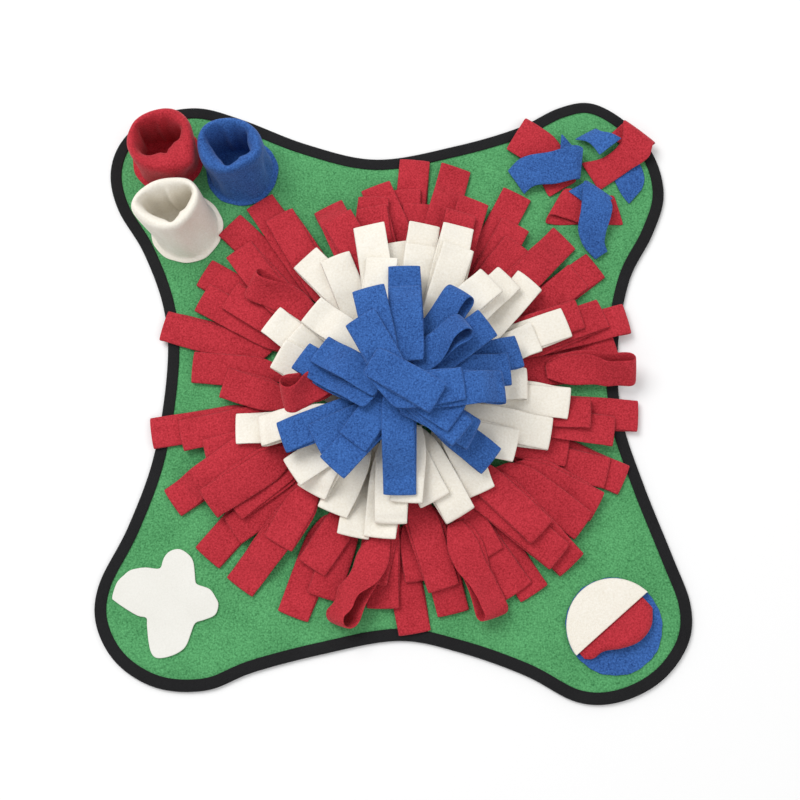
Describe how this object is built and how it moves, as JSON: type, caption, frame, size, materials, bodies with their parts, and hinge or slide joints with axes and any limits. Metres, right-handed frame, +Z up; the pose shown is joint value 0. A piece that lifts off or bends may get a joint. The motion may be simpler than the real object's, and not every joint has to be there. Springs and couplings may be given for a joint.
{
  "type": "snuffle mat",
  "caption": "Fleece snuffle mat for pets: a four-lobed bound mat with a dense rosette of folded strip loops, soft cups, loose ribbons, a flap ball and a clover patch.",
  "frame": {"origin": "on the underside of the mat, under the middle of the rosette", "axes": "+Z up out of the mat; +X to the ribbon and ball corners, +Y to the cup and ribbon corners"},
  "size_m": [0.5877, 0.6212, 0.1006],
  "materials": {
    "green_fleece": "soft brushed green fleece, finely nubbed",
    "black_tape": "black woven binding tape",
    "red_fleece": "soft brushed red fleece",
    "white_fleece": "soft cream-white fleece",
    "blue_fleece": "soft brushed blue fleece",
    "white_felt": "flat cream felt"
  },
  "bodies": {
    "root": {"ball_disc": "blue_fleece", "ball_flap_red": "red_fleece", "ball_flap_white": "white_fleece", "binding": "black_tape", "blue_e": "blue_fleece", "blue_loop_ene": "blue_fleece", "blue_loop_ne": "blue_fleece", "blue_n": "blue_fleece", "blue_nw": "blue_fleece", "blue_s": "blue_fleece", "blue_se": "blue_fleece", "blue_sw": "blue_fleece", "blue_top": "blue_fleece", "blue_w": "blue_fleece", "clover_patch": "white_felt", "cup_blue": "blue_fleece", "cup_red": "red_fleece", "cup_white": "white_fleece", "mat_panel": "green_fleece", "red_e": "red_fleece", "red_e_high": "red_fleece", "red_e_low": "red_fleece", "red_ene": "red_fleece", "red_loop_e": "red_fleece", "red_loop_nw": "red_fleece", "red_loop_sse": "red_fleece", "red_loop_ssw": "red_fleece", "red_loop_w": "red_fleece", "red_n": "red_fleece", "red_ne": "red_fleece", "red_nne": "red_fleece", "red_nnw": "red_fleece", "red_north_left": "red_fleece", "red_nw": "red_fleece", "red_s": "red_fleece", "red_se": "red_fleece", "red_se_low": "red_fleece", "red_ssw": "red_fleece", "red_sw": "red_fleece", "red_sw_low": "red_fleece", "red_w": "red_fleece", "red_w_low": "red_fleece", "red_wsw": "red_fleece", "red_wsw_low": "red_fleece", "ribbon_blue_1": "blue_fleece", "ribbon_blue_2": "blue_fleece", "ribbon_blue_3": "blue_fleece", "ribbon_blue_4": "blue_fleece", "ribbon_red_1": "red_fleece", "ribbon_red_2": "red_fleece", "ribbon_red_3": "red_fleece", "white_e": "white_fleece", "white_n": "white_fleece", "white_ne": "white_fleece", "white_nnw": "white_fleece", "white_nw": "white_fleece", "white_s": "white_fleece", "white_se": "white_fleece", "white_sw": "white_fleece", "white_w": "white_fleece"}
  },
  "joints": []
}
